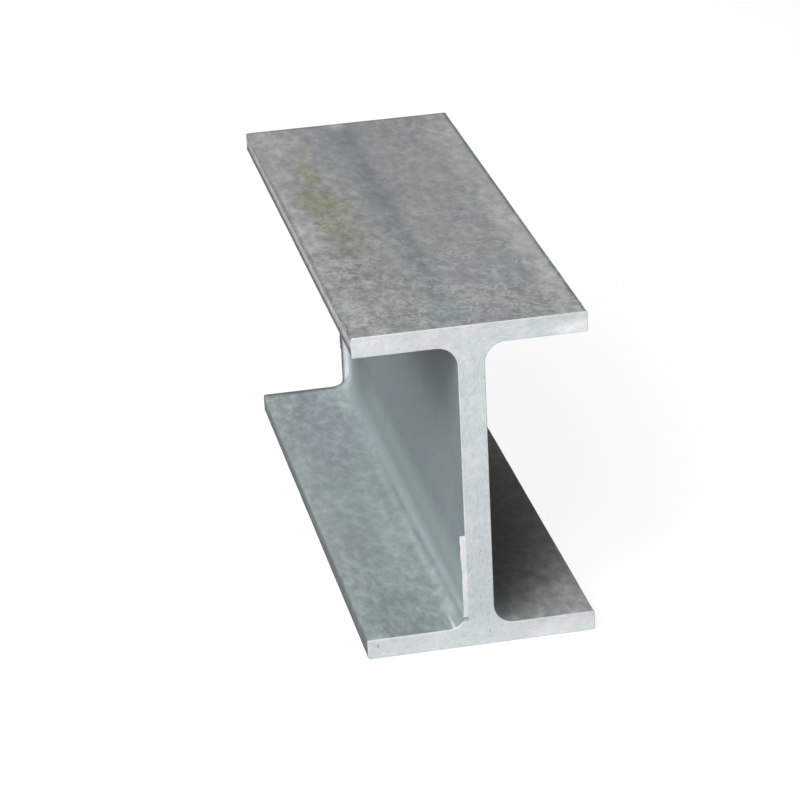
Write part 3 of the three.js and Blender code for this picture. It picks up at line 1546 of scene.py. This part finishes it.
# What shows on the near sawn face, with a painted shadow under the near burr's foot
SAWN_STAINS_AND_PAINTED_LIGHT = (
    # The web's end darker towards the bottom.
    StainOrPaintedLight("darker low web end", (0.0, -140.0, 40.0), (9.0, 4.0, 32.0), (202, 211, 213), 0.65, 0.5),
    StainOrPaintedLight("green web", (1.0, -140.0, 104.0), (5.0, 4.0, 22.0), (208, 219, 217), 0.50, 0.6),
    StainOrPaintedLight("bright toe", (44.0, -140.0, 141.0), (9.0, 4.0, 4.0), (240, 243, 243), 0.80, 0.6),
    StainOrPaintedLight("dull brow", (30.0, -140.0, 147.0), (20.0, 4.0, 3.0), (198, 206, 209), 0.55, 0.6),
    StainOrPaintedLight("pale base", (0.0, -140.0, 3.0), (60.0, 4.0, 9.0), (226, 231, 233), 0.42, 0.6),
    StainOrPaintedLight("bright low toe", (40.0, -140.0, 2.0), (16.0, 4.0, 5.0), (236, 240, 242), 0.60, 0.6),
    StainOrPaintedLight("bright left", (-40.0, -140.0, 145.0), (14.0, 4.0, 5.0), (226, 230, 233), 0.50, 0.6),
    # Painted shadow in the gap under the near burr's foot.
    StainOrPaintedLight("painted shadow under burr foot", (-7.3, -140.0, 13.4), (1.9, 2.0, 0.9), (106, 116, 120), 0.92, 0.4),
)

# What shows on the far burr: a dark rim, and a core that is partly painted light
TORN_STAINS_AND_PAINTED_LIGHT = (
    # The far burr's core near white, partly painted light on the web's far end.
    StainOrPaintedLight("burr core and painted light", (-6.8, 140.0, 30.0), (1.6, 4.0, 60.0), (248, 252, 253), 0.50, 0.7, 0.1),
    StainOrPaintedLight("burr rim", (-9.6, 140.0, 30.0), (1.5, 4.0, 60.0), (96, 102, 103), 0.92, 0.5, 0.1),
)

# Scores of the saw, and its dark dashes where they stand upright and where they lie level
SCORES = (
    Strokes(2.6, 3.8, 0.55, 0.60, 1.0, 11.0, bend=0.8, angle=0.7, spread=1.3),
    Strokes(3.8, 6.0, 0.60, 0.60, 1.0, 12.0, bend=0.8, angle=0.7, spread=1.3),
)
UPRIGHT = Strokes(2.3, 3.2, 0.60, 0.55, 1.0, 13.0, bend=0.5, angle=0.5 * math.pi, spread=0.5)
LEVEL = Strokes(2.6, 3.4, 0.55, 0.45, 0.8, 14.0, bend=0.8, angle=0.1, spread=0.9)


@dataclass(frozen=True)
class SawnFinish:
    """Steel as the saw left it: bright, clouded and finely scored, with a few dark specks."""

    name: str = "sawn_steel"
    cool: Colour = shade(205, 214, 215)
    warm: Colour = shade(214, 216, 220)
    pale: Colour = shade(236, 239, 241)
    dark: Colour = shade(140, 149, 153)
    drift_size: float = 11.0 * MM
    stains: tuple[StainOrPaintedLight, ...] = SAWN_STAINS_AND_PAINTED_LIGHT
    clouds: Clouds = Clouds(16.0 * MM, 4.0 * MM, 1.1 * MM, 0.40, 0.60, 0.40)
    clouding: float = 0.11
    score_share: float = 0.38
    dash_share: float = 0.40
    mark_share: float = 0.7
    speck_cell: float = 7.0 * MM
    speck_radius: float = 0.8 * MM
    speck_presence: float = 0.35
    metallic: float = 0.05
    specular: float = 0.15
    roughness: float = 0.55
    relief: float = 0.05 * MM

    # The web's end: across the bar, and up it from below and from above
    web_across: Ramp = Ramp(10.0, 6.0)
    web_upwards: Ramp = Ramp(10.0, 14.0)
    web_downwards: Ramp = Ramp(138.0, 134.0)

    def material(self, patterns: Patterns) -> bpy.types.Material:
        """Make the material.

        Args:
            patterns: The shared groups.

        Returns:
            The material.
        """
        tone_roughness, score_height = 0.05, 0.6
        surface = Surface(self.name, patterns, self.metallic, self.specular)
        tone = self.clouds.tone(surface, surface.place)
        scores: Value = 0.0
        for strokes in SCORES:
            scores = surface.math("MAXIMUM", strokes.mask(surface, surface.unrolled), scores)
        inputs = {
            "Place": surface.place,
            "Cell": self.speck_cell,
            "Radius": self.speck_radius,
            "Presence": self.speck_presence,
        }
        specks = surface.use(patterns.specks, inputs)["Mask"]

        drift = surface.noise(surface.place, self.drift_size)
        colour = surface.blend(CLOUD_TO_SHADE.over(drift, 1.0), self.cool, self.warm)
        for tint_patch in self.stains:
            colour = tint_patch.tint(surface, colour)
        colour = colour * (tone * self.clouding + 1.0)
        colour = surface.blend(scores * self.score_share, colour, self.pale)
        marks = surface.math("MAXIMUM", self.dashes(surface) * self.dash_share, specks)
        colour = surface.blend(marks * self.mark_share, colour, self.dark)
        roughness = tone * tone_roughness + self.roughness
        return surface.finish(colour, roughness, scores * score_height - marks, self.relief)

    def dashes(self, surface: Surface) -> Wire:
        """Scatter short dark dashes, upright on the web's end and level on the flanges'.

        Args:
            surface: The material to work in.

        Returns:
            The dashes' mask.
        """
        x, _, z = surface.separate(surface.place)
        within = self.web_upwards.over(z) * self.web_downwards.over(z)
        on_web = self.web_across.over(abs(x)) * within
        up, along = (strokes.mask(surface, surface.unrolled) for strokes in (UPRIGHT, LEVEL))
        return surface.math("MAXIMUM", up * on_web, along * (1.0 - on_web))


@dataclass(frozen=True)
class FloorFinish:
    """A pale matt floor that reads as white to the eye and still holds a shadow."""

    colour: Colour = (0.58, 0.58, 0.58, 1.0)
    seen_colour: Colour = (0.17, 0.17, 0.17, 1.0)
    glow: float = 0.90

    def material(self) -> bpy.types.Material:
        """Make the material.

        Returns:
            The material.
        """
        made = bpy.data.materials.new("pale_floor")
        made.use_nodes = True
        graph = Graph(made.node_tree)
        graph.tree.nodes.clear()
        plain = graph.wire("ShaderNodeBsdfDiffuse", {"Color": self.colour})
        held = graph.wire("ShaderNodeBsdfDiffuse", {"Color": self.seen_colour})
        glow = graph.wire("ShaderNodeEmission", {"Color": WHITE, "Strength": self.glow})
        seen = graph.wire("ShaderNodeAddShader", {"Shader": held, "Shader_001": glow})
        mix = {"Fac": seen_directly(graph), "Shader": plain, "Shader_001": seen}
        surface = graph.wire("ShaderNodeMixShader", mix)
        graph.node("ShaderNodeOutputMaterial", {"Surface": surface})
        return made


def seen_directly(graph: Graph) -> Wire:
    """Tell rays that look at a thing, straight or by a reflection, from light that bounces.

    Args:
        graph: The tree to work in.

    Returns:
        1 for a camera, glossy or transmission ray and 0 for any other.
    """
    path = graph.node("ShaderNodeLightPath").outputs
    camera, glossy, through = (
        Wire(graph, path[f"Is {ray} Ray"]) for ray in ("Camera", "Glossy", "Transmission")
    )
    return graph.math("ADD", camera + glossy, through, clamp=True)


# ----------------------------------------------------------------------------- studio


@dataclass(frozen=True)
class Softbox:
    """A round soft lamp. Azimuth 0 is in front of the near end, and 90 to its right."""

    name: str
    azimuth: float
    elevation: float
    diameter: float
    watts: float

    def hang(self, target: Vector, distance: float) -> None:
        """Hang the lamp at a distance from a point, facing it.

        Args:
            target: The point that it faces.
            distance: How far it is from the point.
        """
        lamp = bpy.data.lights.new(self.name, "AREA")
        lamp.shape = "DISK"
        lamp.size = self.diameter
        lamp.energy = self.watts
        turn, tilt = math.radians(self.azimuth), math.radians(self.elevation)
        level = math.cos(tilt)
        away = Vector((math.sin(turn) * level, -math.cos(turn) * level, math.sin(tilt)))
        stand = add_object(self.name, lamp)
        stand.location = target + away * distance
        stand.rotation_euler = away.to_track_quat("Z", "Y").to_euler()


@dataclass(frozen=True)
class Viewpoint:
    """Where the camera stands, and how it is turned, in degrees."""

    place: tuple[float, float, float] = (-0.2443152, -1.3176197, 0.6289718)
    turn: tuple[float, float, float] = (66.87087, 2.58998, -11.38454)
    lens: float = 141.657
    sensor: float = 36.0

    def set_up(self) -> None:
        """Make the camera and give it to the scene."""
        camera = bpy.data.cameras.new("viewpoint")
        camera.lens = self.lens
        camera.sensor_width = self.sensor
        stand = add_object("viewpoint", camera)
        stand.location = self.place
        stand.rotation_euler = Euler([math.radians(angle) for angle in self.turn])
        bpy.context.scene.camera = stand


@dataclass
class Studio:
    """A pale floor, soft lamps, a white world and the camera."""

    softboxes: tuple[Softbox, ...] = (
        Softbox("key", 326.0, 42.0, 1.0, 20.3),
        Softbox("left fill", 302.0, 55.0, 1.0, 8.0),
        Softbox("back", 195.0, 30.0, 0.8, 5.6),
        Softbox("low front", 0.0, 6.0, 0.8, 2.4),
        Softbox("low right", 60.0, 6.0, 0.8, 1.9),
    )
    target: tuple[float, float, float] = (0.0, 0.0, 0.07)
    distance: float = 1.6
    viewpoint: Viewpoint = Viewpoint()
    floor_size: float = 12.0
    ambient: float = 0.02

    def lay_floor(self, finish: bpy.types.Material) -> None:
        """Lay the floor just where the bar stands.

        Args:
            finish: The floor's material.
        """
        half = 0.5 * self.floor_size
        mesh = bpy.data.meshes.new("floor")
        corners = [(-half, -half, 0.0), (half, -half, 0.0), (half, half, 0.0), (-half, half, 0.0)]
        mesh.from_pydata(corners, [], [(0, 1, 2, 3)])
        mesh.materials.append(finish)
        add_object("floor", mesh)

    def light_world(self) -> None:
        """Make the world white where it is seen, and almost dark as a source of light."""
        world = bpy.data.worlds.new("studio")
        world.use_nodes = True
        bpy.context.scene.world = world
        graph = Graph(world.node_tree)
        graph.tree.nodes.clear()
        strength = graph.math("MAXIMUM", seen_directly(graph), self.ambient)
        sky = graph.wire("ShaderNodeBackground", {"Color": WHITE, "Strength": strength})
        graph.node("ShaderNodeOutputWorld", {"Surface": sky})

    def build(self) -> None:
        """Set the whole studio up."""
        self.lay_floor(FloorFinish().material())
        self.light_world()
        for softbox in self.softboxes:
            softbox.hang(Vector(self.target), self.distance)
        self.viewpoint.set_up()
        bpy.context.scene.view_settings.view_transform = "Standard"


# ------------------------------------------------------------------------------- main


def main() -> None:
    """Build the bar, its burrs and the studio."""
    logging.basicConfig(level=logging.INFO, format="%(name)s: %(message)s")
    sizes = SectionSizes.of_frame(FRAME["record"])
    patterns = Patterns()
    zinc = ZincFinish(sizes).material(patterns)
    sawn = SawnFinish().material(patterns)
    torn = SawnFinish(
        name="torn_steel",
        cool=shade(218, 223, 226),
        warm=shade(225, 226, 229),
        pale=shade(246, 247, 248),
        stains=TORN_STAINS_AND_PAINTED_LIGHT,
        dash_share=0.2,
    ).material(patterns)

    pieces = [RolledBar(sizes).build(zinc, sawn)]
    near = SawBurr(
        "near_burr",
        End.NEAR,
        sizes,
        foot=14.2 * MM,
        top=52.3 * MM,
        step=40.5 * MM,
        reach=2.2 * MM,
        low_reach=1.8 * MM,
    )
    far = SawBurr(
        "far_burr",
        End.FAR,
        sizes,
        foot=8.9 * MM,
        top=52.0 * MM,
        step=30.0 * MM,
        reach=3.7 * MM,
        low_reach=3.4 * MM,
        foot_radius=4.2 * MM,
        seed=2.0,
    )
    pieces += [burr.build(torn) for burr in (near, far)]
    for piece in pieces:
        LOG.info("%s: %d faces", piece.name, len(piece.data.polygons))

    Studio().build()
    LOG.info("studio is set up")


if __name__ == "__main__":
    main()
